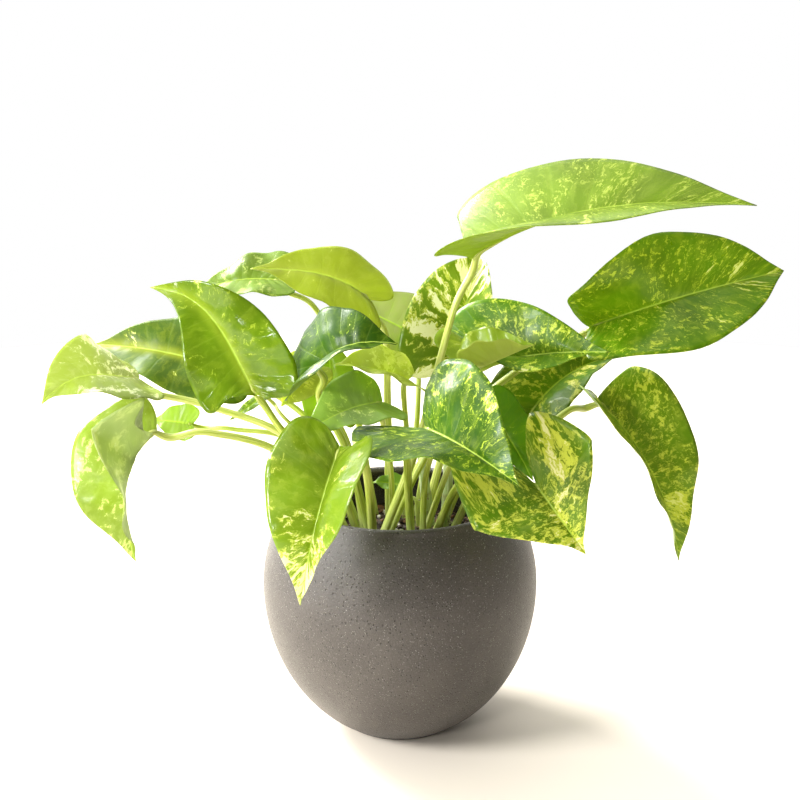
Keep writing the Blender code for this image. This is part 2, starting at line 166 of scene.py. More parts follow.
LEAVES = (
    Leaf("top_right", (35, -20, 259), (166, -57, 287), (-0.1, -0.5, 1), 76,
         ((-10, -9), (9, -15, 160), (20, -19, 205), (28, -20, 235)),
         lobe=1, bow=0.1, lean=0.2, belly=0.03, fold_left=27, fold_right=24, lift_left=4,
         lift_right=26),
    Leaf("right_big", (101, 10, 219), (203, 10, 249), (-0.1, -0.85, 0.5), 76,
         ((-6, -1), (12, -2, 148), (34, 4, 173), (68, 8, 199)),
         lobe=4, bow=0.05, belly=0.14, fold_left=22, lift_left=56, lift_right=24, curl_left=-8,
         curl_right=-8),
    Leaf("right_middle", (40, 6, 195), (105, -30, 213), (-0.1, -0.35, 0.93), 70,
         ((14, 24), (24, 20, 147), (34, 14, 173)),
         lobe=5, belly=-0.04, bow=0.06, lean=0.3, fold_left=60, fold_right=12, lift_left=14,
         lift_right=72),
    Leaf("upright_streaked", (27, 48, 187), (46, 60, 252), (-0.15, -1, 0.3), 64,
         ((10, 38), (19, 46, 157)), bow=0.04, lobe=8, belly=0.2, fold_right=62),
    Leaf("right_back", (71, 16, 169), (127, 36, 199), (-0.4, -0.8, 0.45), 58,
         ((24, 16), (38, 16, 139), (56, 17, 158)),
         fold_left=14, fold_right=52, sweep=-0.1),
    Leaf("right_front", (67, -55, 151), (90, -72, 121), (0, -1, 0.15), 78,
         ((18, -6), (32, -20, 142), (52, -38, 150)),
         lobe=36, uneven=9, belly=-0.2, fold_left=40, fold_right=30, curl_left=-24, curl_right=-30),
    Leaf("front_behind", (44, -28, 185), (68, -36, 147), (0.3, -0.9, 0.3), 30,
         ((14, 2), (26, -10, 147), (38, -22, 175)), lobe=6, stalk_radius=1.8),
    Leaf("front_middle", (12, -55, 180), (53, -110, 167), (-0.15, -0.62, 0.78), 76,
         ((6, -5), (4, -22, 147), (4, -40, 169)),
         lobe=20, uneven=10, fold_left=42, fold_right=38, lift_right=-14, curl_left=-10),
    Leaf("right_hanging", (104, -5, 183), (147, -25, 100), (0.55, -0.8, 0.3), 72,
         ((28, 0), (50, -8, 154), (76, -17, 171), (89, -13, 179)),
         lobe=3, bow=0.13, fold_right=40, curl_left=-6, curl_right=10),
    Leaf("left_centre", (-73, -25, 189), (-128, -12, 243), (-0.1, -1, 0.4), 55,
         ((-22, -6), (-36, -14, 147), (-58, -22, 167)),
         lobe=1, uneven=7, sweep=0.14, bow=0.05, lean=-0.6, fold_left=18, fold_right=26,
         curl_left=-14),
    Leaf("left_far", (-136, -10, 195), (-176, -48, 190), (-0.1, -0.4, 1), 50,
         ((-30, 8), (-56, 0, 157), (-100, -6, 179)),
         lobe=4, bow=0.16, lean=-0.5, belly=0.08, fold_left=0, fold_right=62, lift_right=-46),
    Leaf("left_back", (-90, 30, 190), (-180, 60, 200), (-0.2, -0.7, 0.75), 54,
         ((-24, 20), (-46, 26, 157), (-72, 30, 179)), bow=0.08, stalk_radius=1.9),
    Leaf("left_hanging", (-122, -38, 174), (-131, -60, 113), (-0.6, -0.8, 0.2), 66,
         ((-30, -10), (-58, -22, 155), (-96, -34, 172)),
         lobe=0, uneven=9, bow=0.22, lean=0.2, fold_left=42, fold_right=40, lift_left=78,
         curl_left=0),
    Leaf("top_left_back", (-67, 50, 239), (-116, 62, 231), (-0.1, -0.5, 1), 46,
         ((-14, 34), (-30, 44, 187), (-48, 50, 223)), bow=0.08, stalk_radius=1.8),
    Leaf("top_left", (-16, 20, 232), (-79, 10, 250), (0.1, -0.5, 1), 42,
         ((-6, 26), (-7, 25, 177), (-8, 22, 213)), bow=0.12, lean=0.3, fold_left=-12, fold_right=34),
    Leaf("middle_dark", (-42, -40, 205), (-1, -52, 221), (-0.3, -0.6, 0.8), 58,
         ((-16, -8), (-28, -14, 157), (-41, -23, 186)),
         lobe=16, uneven=-9, bow=0.2, fold_left=26, fold_right=46, curl_left=-30, curl_right=-30),
    Leaf("left_small_mottled", (-46, -6, 200), (-62, -15, 181), (-0.2, -1, 0.3), 28,
         ((-20, 6), (-28, 0, 157), (-42, -6, 183)), lobe=5, stalk_radius=1.7),
    Leaf("back_grey_green", (13, 66, 203), (-34, 68, 226), (0, -1, 0.35), 44,
         ((4, 42), (10, 56, 157)), stalk_radius=1.8),
    Leaf("middle_small", (-9, -21, 185), (-48, -47, 174), (-0.2, -0.6, 0.8), 42,
         ((-4, 8), (-5, -4, 147)), lobe=4, bow=0.1, fold_left=12, curl_left=0, curl_right=0,
         stalk_radius=1.7),
    Leaf("middle_lime", (4, 4, 191), (-34, -14, 203), (0, -0.3, 1), 40,
         ((3, 26), (4, 20, 150)), lobe=6, fold_right=32, stalk_radius=1.8),
    Leaf("front_hanging", (-29, -60, 172), (-47, -90, 102), (-0.2, -1, 0.3), 62,
         ((-14, -20), (-16, -40, 147), (-20, -54, 169)),
         lobe=2, uneven=7, bow=0.12, fold_left=60, fold_right=22, curl_left=-24, curl_right=-24),
    Leaf("back_olive", (-37, 20, 171), (-40, 35, 212), (0, -1, 0.3), 34,
         ((-20, 18), (-28, 20, 147)), stalk_radius=1.7),
    Leaf("mouth_young", (2, 12, 130), (-16, 14, 131), (0, -0.7, 0.7), 12,
         ((10, 8), (9, 11, 121)), lobe=2, stalk_radius=1.2),
    Leaf("left_curled_back", (-115, 20, 163), (-138, 25, 164), (0, -0.8, 0.5), 22,
         ((-34, 20), (-56, 19, 151), (-92, 20, 160)), lobe=3, stalk_radius=1.6),
    Leaf("left_narrow", (-72, 0, 184), (-93, 4, 168), (0, -1, 0.3), 6,
         ((-24, 4), (-40, 0, 147), (-62, -4, 173)), lobe=1, stalk_radius=1.2),
    Leaf("right_cupped", (38, -35, 206), (66, -43, 219), (-0.4, 0, 0.92), 38,
         ((12, -12), (14, -19, 147), (25, -34, 178)),
         lobe=5, bow=0.0, fold_left=64, fold_right=52, curl_left=-6, curl_right=-8, stalk_radius=1.6),
)

# The bare vines: a foot on the mix, then the places that each one climbs through.
VINES = {
    "vine_left": ((17, 10), (14, 7, 128), (12, 5, 148), (10, 3, 162)),
    "vine_right": ((24, 6), (26, 3, 128), (26, 1, 148), (28, -2, 160)),
}
VINE_RADIUS = 3.1
VINE_TIP_RADIUS = 1.6
VINE_RINGS = 44
VINE_JOINTS = (0.3, 0.72)
ROOT_STUBS = (0.12, 0.2, 0.3, 0.32)


@dataclass
class Look:
    """A blade's colours as sRGB numbers, and the shares of it that its lighter patches take.

    tip_pale gathers the patches at the tip, and heart lightens the blade beside its midrib. gloss is
    the roughness, shine the strength of the highlights, glow the light that shows through, ripple the
    height of the waves, and streak how far the patches are drawn out from the midrib.
    """

    green: int
    light: int = 0xA8CE12
    cream: int = 0xF0F0A0
    light_share: float = 0.2
    cream_share: float = 0.03
    fleck_share: float = 0.2
    tip_pale: float = 0.0
    heart: float = 0.0
    rib: int = 0xC4DC5A
    under: int = 0x9AB848
    gloss: float = 0.3
    glow: float = 0.4
    ripple: float = 1.0
    streak: float = 1.0
    shine: float = 0.32


LOOKS = {
    "top_right": Look(0x7C9A24, light=0xC0D058, light_share=0.22, fleck_share=0.5, under=0x96AE2C,
                      gloss=0.36, glow=0.38, ripple=0.2, streak=0.8),
    "right_big": Look(0x5C8C08, light=0xD0DA44, light_share=0.14, fleck_share=0.5, tip_pale=0.14,
                      ripple=0.6, glow=0.38),
    "right_middle": Look(0x4E7A06, light=0xC8D648, light_share=0.24, fleck_share=0.5, under=0x9CB43C,
                         gloss=0.36, glow=0.3, shine=0.2),
    "upright_streaked": Look(0x6C9014, light=0xD0D45C, cream=0xFCFAD6, light_share=0.58,
                             cream_share=0.42, fleck_share=0.35, streak=0.6),
    "right_back": Look(0x507E08, light=0xC4C84C, light_share=0.42, cream_share=0.2, fleck_share=0.45,
                       cream=0xECE894, streak=0.8, gloss=0.4, glow=0.36, shine=0.16),
    "right_front": Look(0x56820C, light=0xD6DC54, cream=0xFAF6BE, light_share=0.44, cream_share=0.18,
                        fleck_share=0.65, under=0xC4CC6A, glow=0.36, streak=1.15),
    "front_behind": Look(0x6CA020, light_share=0.08, fleck_share=0.1, glow=0.45),
    "front_middle": Look(0x3A6408, light=0xBCD03A, light_share=0.16, fleck_share=0.5, glow=0.26, gloss=0.34,
                         shine=0.22),
    "right_hanging": Look(0x60900E, light=0xDAE058, light_share=0.36, cream_share=0.08,
                          fleck_share=0.6, under=0xB4C68A, glow=0.42),
    "left_centre": Look(0x668610, light=0xBCCC40, light_share=0.14, fleck_share=0.35, heart=0.5,
                        gloss=0.12, glow=0.45, ripple=1.3, shine=0.5),
    "left_far": Look(0x9CB430, light=0xE4EAB8, cream=0xF8F8EA, light_share=0.36, cream_share=0.16,
                     fleck_share=0.08, glow=0.5, under=0xDCE0B8, streak=2.2),
    "left_back": Look(0x4A6A08, light=0xB6C034, light_share=0.1, cream_share=0.02, heart=0.6, gloss=0.46,
                      glow=0.3, shine=0.14),
    "left_hanging": Look(0x8EAA2C, light=0xDAE290, cream=0xF2F4D6, light_share=0.36, cream_share=0.12,
                         glow=0.45, under=0xB8C896, streak=1.9),
    "top_left_back": Look(0x729020, light=0xBCCC6A, light_share=0.36, glow=0.42, under=0xA4BA70, gloss=0.4,
                          shine=0.2),
    "top_left": Look(0xA4B630, light=0xD2DA68, light_share=0.16, fleck_share=0.08, heart=0.25, glow=0.5,
                     under=0xC8D0A8),
    "middle_dark": Look(0x2E5006, light=0x8CA828, light_share=0.08, fleck_share=0.3, gloss=0.34, glow=0.14,
                        shine=0.13),
    "left_small_mottled": Look(0xCCDC60, light=0xEEF284, light_share=0.45, cream_share=0.24, glow=0.68),
    "back_grey_green": Look(0xB4B47C, light_share=0.05, fleck_share=0.02, glow=0.45),
    "middle_small": Look(0xA2C656, light=0xC8DE68, light_share=0.2, fleck_share=0.3, glow=0.5),
    "middle_lime": Look(0xC0D24A, light=0xD8E474, light_share=0.4, glow=0.6, under=0xCCD8A0),
    "front_hanging": Look(0x7A9A1A, light=0xD0D858, cream=0xFAF6C0, light_share=0.24, cream_share=0.1,
                          fleck_share=0.3, tip_pale=0.36, gloss=0.2, glow=0.42, shine=0.5),
    "back_olive": Look(0x94AC2C, light_share=0.15, glow=0.55),
    "mouth_young": Look(0x8CB448, light=0xAAC860, light_share=0.3, glow=0.3),
    "left_curled_back": Look(0xB4CE6C, light_share=0.2, under=0xEEF2D0, glow=0.65),
    "left_narrow": Look(0x8CA658, light_share=0.1, glow=0.4),
    "right_cupped": Look(0x8EA828, light=0xB8C850, light_share=0.3, fleck_share=0.1, under=0xB0B956,
                         glow=0.42, shine=0.26),
}


def linear(code):
    """An sRGB number such as 0x6FA83A as a linear colour with alpha."""
    parts = [(code >> shift & 255) / 255 for shift in (16, 8, 0)]
    return (*(p / 12.92 if p <= 0.04045 else ((p + 0.055) / 1.055) ** 2.4 for p in parts), 1.0)


def between(low, high, share):
    return low + (high - low) * share


def smooth_step(low, high, value):
    share = min(1.0, max(0.0, (value - low) / (high - low)))
    return share * share * (3 - 2 * share)


def bump_shape(distance, width):
    """1 at no distance, falling smoothly to 0 over about twice the width."""
    return math.exp(-((distance / width) ** 2))


# ---------------------------------------------------------------- materials


class Graph:
    """A material's nodes, written as calls. Every input takes a number, a colour or another socket."""

    def __init__(self, name):
        self.material = bpy.data.materials.new(name)
        self.material.use_nodes = True
        self.tree = self.material.node_tree
        self.shader = self.tree.nodes["Principled BSDF"]

    def node(self, kind, *values, **settings):
        made = self.tree.nodes.new("ShaderNode" + kind)
        for key, value in settings.items():
            setattr(made, key, value)
        for socket, value in zip(made.inputs, values):
            self.feed(socket, value)
        return made

    def feed(self, socket, value):
        if isinstance(value, bpy.types.NodeSocket):
            self.tree.links.new(value, socket)
        elif value is not None:
            socket.default_value = value

    def math(self, operation, a, b=0.5, c=0.5):
        return self.node("Math", a, b, c, operation=operation).outputs[0]

    def noise(self, place, scale, detail=2.0, rough=0.5):
        return self.node("TexNoise", place, None, scale, detail, rough).outputs[0]

    def specks(self, place, scale):
        return self.node("TexVoronoi", place, None, scale).outputs["Distance"]

    def stretch(self, place, sizes, shift=(0.0, 0.0, 0.0)):
        """The place, scaled so that one unit is the size in mm along each axis."""
        scale = tuple(1 / size for size in sizes)
        return self.node("Mapping", place, shift, (0.0, 0.0, 0.0), scale).outputs[0]

    def rise(self, value, low, high):
        """0 below low, 1 above high, and smooth between them."""
        return self.node("MapRange", value, low, high, interpolation_type="SMOOTHSTEP").outputs[0]

    def mix(self, share, a, b):
        made = self.node("Mix", data_type="RGBA")
        self.feed(made.inputs[0], share)
        self.feed(made.inputs[6], a)
        self.feed(made.inputs[7], b)
        return made.outputs[2]

    def finish(self, colour, roughness, height=None, depth=0.1, **constants):
        self.feed(self.shader.inputs["Base Color"], colour)
        self.feed(self.shader.inputs["Roughness"], roughness)
        if height is not None:
            relief = self.tree.nodes.new("ShaderNodeBump")
            relief.inputs["Distance"].default_value = depth * MM
            self.feed(relief.inputs["Height"], height)
            self.feed(self.shader.inputs["Normal"], relief.outputs[0])
        for name, value in constants.items():
            self.shader.inputs[name.replace("_", " ")].default_value = value
        return self.material

    def let_light_through(self, colour, share):
        """Adds the light that shows through from behind, in this colour."""
        through = self.node("BsdfTranslucent", colour)
        both = self.node("MixShader", share, self.shader.outputs[0], through.outputs[0])
        self.tree.links.new(both.outputs[0], self.tree.nodes["Material Output"].inputs["Surface"])


def share_level(share):
    """The level that about this share of a noise lies above."""
    return between(0.66, 0.36, share)


def blade_material(leaf, look, length, seed):
    """Variegated leaf: patches and flecks drawn out along the side veins, a pale midrib, a duller back."""
    g = Graph("blade_" + leaf.name)
    place = g.node("UVMap", uv_map="blade").outputs[0]
    upper = g.node("Attribute", attribute_name="upper").outputs["Fac"]
    split = g.node("SeparateXYZ", place)
    across = g.math("ABSOLUTE", split.outputs[0])
    along = split.outputs[1]
    long = look.streak
    # The patterns are read at a place nudged about by a noise, so that their edges are ragged.
    nudge_place = g.stretch(place, (7, 5, 1), (seed * 1.9, seed * 0.7, 0))
    nudge = g.node("TexNoise", nudge_place, None, 1.0, 3.0, 0.6)
    nudge = g.node("VectorMath", nudge.outputs["Color"], (-0.5, -0.5, -0.5), operation="ADD").outputs[0]
    nudge = g.node("VectorMath", nudge, (9.0, 9.0, 0.0), operation="MULTIPLY").outputs[0]
    torn = g.node("VectorMath", place, nudge, operation="ADD").outputs[0]
    broad = g.noise(g.stretch(torn, (22 / long, 13 * long, 1), (seed * 3.1, seed * 1.7, 0)), 1.0, 2.0)
    streaks = g.noise(g.stretch(torn, (9 / long, 3.0, 1), (seed * 2.3, seed * 4.1, 0)), 1.0, 4.0, 0.62)
    flecks = g.noise(g.stretch(torn, (3.6, 1.5, 1), (seed * 5.9, seed * 2.9, 0)), 1.0, 4.0, 0.66)
    fine = g.noise(g.stretch(place, (1.5, 0.65, 1), (seed * 4.3, seed * 3.9, 0)), 1.0, 3.0, 0.62)
    tone = g.noise(g.stretch(place, (30, 22, 1), (seed * 1.3, seed * 6.7, 0)), 1.0, 1.0)
    reach = g.math("DIVIDE", along, length)
    patchy = g.math("MULTIPLY_ADD", broad, 0.5, g.math("MULTIPLY", streaks, 0.5))
    patchy = g.math("ADD", patchy, g.math("MULTIPLY_ADD", reach, look.tip_pale, -0.4 * look.tip_pale))
    ragged = g.math("ADD", patchy, -0.21)
    ragged = g.math("MULTIPLY_ADD", fine, 0.12, ragged)
    ragged = g.math("MULTIPLY_ADD", flecks, 0.3, ragged)
    light_level = share_level(look.light_share)
    cream_level = share_level(look.cream_share)
    light = g.rise(ragged, light_level - 0.01, light_level + 0.025)
    cream = g.rise(ragged, cream_level - 0.01, cream_level + 0.02)
    fleck_level = share_level(look.fleck_share * 0.6)
    fleck_zone = g.rise(broad, 0.6 - 0.42 * look.fleck_share, 0.72 - 0.42 * look.fleck_share)
    fleck = g.math("MULTIPLY", g.rise(flecks, fleck_level - 0.01, fleck_level + 0.03), fleck_zone)
    dust = g.math("MULTIPLY", g.rise(fine, fleck_level + 0.03, fleck_level + 0.08), fleck_zone)
    shade = g.mix(g.rise(tone, 0.35, 0.7), linear(look.green), darker(look.green, 0.66))
    ground = g.mix(g.math("MULTIPLY", g.rise(streaks, 0.4, 0.75), 0.25), shade, linear(look.light))
    colour = g.mix(g.math("MULTIPLY", dust, 0.55), ground, linear(look.light))
    colour = g.mix(g.math("MULTIPLY", fleck, 0.8), colour, linear(look.light))
    colour = g.mix(g.math("MULTIPLY", light, 0.88), colour, linear(look.light))
    colour = g.mix(g.math("MULTIPLY", cream, 0.92), colour, linear(look.cream))
    beside = g.rise(g.math("MULTIPLY_ADD", streaks, 9.0, across), 3.5, 11.0)
    colour = g.mix(g.math("MULTIPLY_ADD", beside, -look.heart, look.heart), colour, linear(look.light))
    rib_width = g.math("MULTIPLY_ADD", reach, -0.75, 1.15)
    rib = g.math("SUBTRACT", 1.0, g.rise(g.math("DIVIDE", across, rib_width), 0.25, 1.0))
    colour = g.mix(g.math("MULTIPLY", rib, 0.75), colour, linear(look.rib))
    evened = g.math("POWER", g.math("MAXIMUM", reach, 0.0), 1 / VEIN_CROWDING)
    vein_distance = g.math("PINGPONG", g.math("MULTIPLY", evened, SIDE_VEINS), 0.5)
    vein = g.math("SUBTRACT", 1.0, g.rise(vein_distance, 0.015, 0.07))
    colour = g.mix(g.math("MULTIPLY", vein, 0.05), colour, linear(look.rib))
    back = g.mix(0.7, colour, linear(look.under))
    colour = g.mix(upper, back, colour)
    cells = g.noise(g.stretch(place, (0.7, 0.5, 1)), 1.0, 2.0)
    roughness = g.math("MULTIPLY_ADD", flecks, 0.16, g.math("MULTIPLY_ADD", upper, -0.2, look.gloss + 0.12))
    height = g.math("MULTIPLY_ADD", cells, 0.25, g.math("MULTIPLY", streaks, 0.6))
    height = g.math("MULTIPLY_ADD", vein, -0.35, height)
    g.finish(colour, roughness, height, 0.16, Coat_Weight=look.shine / 3, Coat_Roughness=0.1,
             Specular_IOR_Level=look.shine)
    g.let_light_through(g.mix(0.35, colour, linear(look.light)), look.glow)
    return g.material


def darker(code, share):
    red, green, blue, alpha = linear(code)
    return (red * share, green * share, blue * share, alpha)


def stalk_material(name, pale, green, seed):
    """Fine lengthwise streaks between two greens, paler at the foot."""
    g = Graph(name)
    place = g.node("UVMap", uv_map="stalk").outputs[0]
    along = g.node("SeparateXYZ", place).outputs[1]
    streaks = g.noise(g.stretch(place, (0.9, 24, 1), (seed * 3.7, seed, 0)), 1.0, 3.0)
    spots = g.noise(g.stretch(place, (0.7, 1.3, 1), (seed, seed * 2.3, 0)), 1.0, 2.0)
    colour = g.mix(g.rise(streaks, 0.38, 0.66), linear(green), linear(pale))
    colour = g.mix(g.math("MULTIPLY", g.rise(spots, 0.6, 0.75), 0.25), colour, linear(pale))
    foot = g.math("SUBTRACT", 1.0, g.rise(along, 2.0, 26.0))
    colour = g.mix(g.math("MULTIPLY", foot, 0.45), colour, linear(0xC9D79A))
    roughness = g.math("MULTIPLY_ADD", spots, 0.15, 0.3)
    g.finish(colour, roughness, streaks, 0.18, Coat_Weight=0.1, Coat_Roughness=0.25)
    g.let_light_through(g.mix(0.4, colour, linear(pale)), 0.22)
    return g.material


def vine_material(name, seed):
    """Pale vine with brown scars at its joints and dark root marks near the foot."""
    g = Graph(name)
    place = g.node("UVMap", uv_map="stalk").outputs[0]
    along = g.node("SeparateXYZ", place).outputs[1]
    scar = g.node("Attribute", attribute_name="scar").outputs["Fac"]
    streaks = g.noise(g.stretch(place, (1.1, 16, 1), (seed, seed * 1.9, 0)), 1.0, 4.0, 0.6)
    marks = g.noise(g.stretch(place, (2.2, 4.5, 1), (seed * 2.7, seed, 0)), 1.0, 4.0, 0.65)
    colour = g.mix(g.rise(streaks, 0.35, 0.65), linear(0xA9BE74), linear(0xD3DDAE))
    low = g.math("SUBTRACT", 1.0, g.rise(along, 8.0, 34.0))
    marked = g.math("MULTIPLY", g.rise(marks, 0.55, 0.66), g.math("MULTIPLY_ADD", low, 0.7, 0.2))
    colour = g.mix(marked, colour, linear(0x5A4A33))
    colour = g.mix(g.math("MULTIPLY", scar, 0.6), colour, linear(0x8A7748))
    roughness = g.math("MULTIPLY_ADD", marks, 0.3, 0.35)
    g.finish(colour, roughness, streaks, 0.3)
    g.let_light_through(g.mix(0.3, colour, linear(0xC8D890)), 0.15)
    return g.material


def stoneware_material():
    """Unglazed dark stoneware: a fine sandy skin with dark grains, and pale specks that are partly pale
    grains and partly painted glints.
    """
    g = Graph("speckled_stoneware")
    place = g.node("TexCoord").outputs["Object"]
    place = g.stretch(place, (MM, MM, MM))
    cloud = g.noise(g.stretch(place, (22, 22, 16)), 1.0, 3.0)
    sand = g.noise(g.stretch(place, (0.75, 0.75, 0.75)), 1.0, 4.0, 0.65)
    fine = g.noise(g.stretch(place, (0.32, 0.32, 0.32)), 1.0, 2.0)
    grain = g.specks(g.stretch(place, (1.15, 1.15, 1.15)), 1.0)
    pit = g.specks(g.stretch(place, (2.1, 2.1, 2.1), (9, 4, 2)), 1.0)
    pale_grain_and_glint_zone = g.noise(g.stretch(place, (2.6, 2.6, 2.6)), 1.0, 1.0)
    colour = g.mix(g.rise(cloud, 0.35, 0.68), linear(0x3C3733), linear(0x443F3A))
    colour = g.mix(g.math("MULTIPLY", g.rise(sand, 0.42, 0.7), 0.5), colour, linear(0x5E5955))
    colour = g.mix(g.math("MULTIPLY", g.rise(fine, 0.55, 0.75), 0.45), colour, linear(0x28231F))
    # Pale specks at the grains: partly the clay's own pale grains, partly painted glints of light on the
    # sandy skin.
    glint = g.math("SUBTRACT", 1.0, g.rise(grain, 0.1, 0.24))
    glint = g.math("MULTIPLY", glint, g.rise(pale_grain_and_glint_zone, 0.4, 0.55))
    colour = g.mix(g.math("MULTIPLY", glint, 0.8), colour, linear(0xB4B0A8))
    hollow = g.math("SUBTRACT", 1.0, g.rise(pit, 0.08, 0.26))
    colour = g.mix(g.math("MULTIPLY", hollow, 0.6), colour, linear(0x1F1B18))
    roughness = g.math("MULTIPLY_ADD", sand, 0.24, 0.3)
    height = g.math("MULTIPLY_ADD", hollow, -0.9, g.math("MULTIPLY", glint, 0.6))
    height = g.math("MULTIPLY_ADD", sand, 0.8, height)
    return g.finish(colour, roughness, height, 0.42)


def ground_material(name, dark, middle, pale, grain=1.6, roughness=0.9, depth=0.4):
    """A rough lump's skin: three colours in fine grain, by the place on the object."""
    g = Graph(name)
    place = g.stretch(g.node("TexCoord").outputs["Object"], (MM, MM, MM))
    coarse = g.noise(g.stretch(place, (grain * 3, grain * 3, grain * 3)), 1.0, 3.0, 0.6)
    fine = g.noise(g.stretch(place, (grain * 0.5, grain * 0.5, grain * 0.5)), 1.0, 4.0, 0.65)
    colour = g.mix(g.rise(coarse, 0.36, 0.62), linear(dark), linear(middle))
    colour = g.mix(g.math("MULTIPLY", g.rise(fine, 0.5, 0.74), 0.7), colour, linear(pale))
    rough = g.math("MULTIPLY_ADD", fine, 0.15, roughness - 0.1)
    return g.finish(colour, rough, fine, depth)


def studio_material(name, code):
    """Matt paint with a very slight mottling."""
    g = Graph(name)
    cloud = g.noise(g.node("TexCoord").outputs["Object"], 3.0, 2.0)
    return g.finish(g.mix(cloud, linear(code), darker(code, 0.98)), 0.75)


# ---------------------------------------------------------------- shapes


def add_piece(name, shape, material, slot, *nodes):
    """Makes a finished piece of the bmesh, riding on the body and standing for these CAD nodes."""
    mesh = bpy.data.meshes.new(name)
    shape.to_mesh(mesh)
    shape.free()
    mesh.shade_smooth()
    mesh.materials.append(material)
    piece = bpy.data.objects.new(name, mesh)
    bpy.context.scene.collection.objects.link(piece)
    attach(piece, BODY)
    if nodes:
        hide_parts(*nodes)
    return piece


def smooth_path(stops, count):
    """This many points, evenly spread over a smooth curve through the stops."""
    stops = [Vector(stop) for stop in stops]
    ends = [2 * stops[0] - stops[1], *stops, 2 * stops[-1] - stops[-2]]
    points = []
    for step in range(count):
        place = step / (count - 1) * (len(stops) - 1)
        index = min(int(place), len(stops) - 2)
        t = place - index
        a, b, c, d = ends[index : index + 4]
        points.append(
            b
            + 0.5 * t * (c - a)
            + 0.5 * t * t * (2 * a - 5 * b + 4 * c - d)
            + 0.5 * t**3 * (3 * b - a - 3 * c + d)
        )
    return points


def blade_frame(leaf):
    """The blade's notch, length, and unit axes: along it, to its right, and out of its upper face."""
    notch = Vector(leaf.notch)
    chord = Vector(leaf.tip) - notch
    along = chord.normalized()
    upper = Vector(leaf.faces)
    upper = (upper - along * upper.dot(along)).normalized()
    return notch, chord.length, along, along.cross(upper), upper


def arch(v, lean):
    """How far a blade's midrib stands off its chord, 1 at the middle, and the slope of that there."""
    if v < 0:
        return 4 * (1 + lean) * v, 4 * (1 + lean)
    height = 4 * v * (1 - v) * (1 + lean - 2 * lean * v)
    slope = 4 * ((1 - 2 * v) * (1 + lean - 2 * lean * v) - 2 * lean * v * (1 - v))
    return height, slope


def blade_point(leaf, frame_of_leaf, x, y):
    """Where a point of the flat blade lies, and the direction out of its upper face there."""
    notch, length, along, right, upper = frame_of_leaf
    v = y / length
    height, slope = arch(v, leaf.lean)
    bulge = upper * leaf.bow + right * leaf.sweep
    middle = notch + along * y + bulge * height * length
    tangent = (along + bulge * slope).normalized()
    normal = (upper - tangent * upper.dot(tangent)).normalized()
    side = tangent.cross(normal)
    fold, lift, curl = (
        (leaf.fold_right, leaf.lift_right, leaf.curl_right)
        if x > 0
        else (leaf.fold_left, leaf.lift_left, leaf.curl_left)
    )
    nearness = min(1.0, max(0.0, 1 - v / LIFT_REACH))
    fold = math.radians(fold + lift * nearness * nearness * (3 - 2 * nearness))
    bend = math.radians(curl) / (leaf.width / 2)
    reach = math.sqrt(x * x + CREASE_ROUND**2) - CREASE_ROUND
    if abs(bend) < 1e-6:
        across, rise = abs(x) * math.cos(fold), reach * math.sin(fold)
    else:
        across = (math.sin(fold + bend * abs(x)) - math.sin(fold)) / bend
        rise = (math.cos(fold) - math.cos(fold + bend * abs(x))) / bend
    lean_out = -math.copysign(math.sin(fold + bend * abs(x)), x) * abs(x) / (abs(x) + CREASE_ROUND)
    out = (normal * math.cos(fold + bend * abs(x)) + side * lean_out).normalized()
    return middle + side * math.copysign(across, x) + normal * rise, out


def margin_of(leaf, side, length, rows):
    """The margin of one half of the flat blade, side 1 to the right."""
    lobe = leaf.lobe + side * leaf.uneven
    corners = []
    for share, down in HALF_OUTLINE:
        if down > 0:
            y = (down + 4 * leaf.belly * down * (1 - down)) * length
        else:
            y = down * lobe
        corners.append((side * share * leaf.width, y, 0.0))
    return smooth_path(corners, rows + 1)


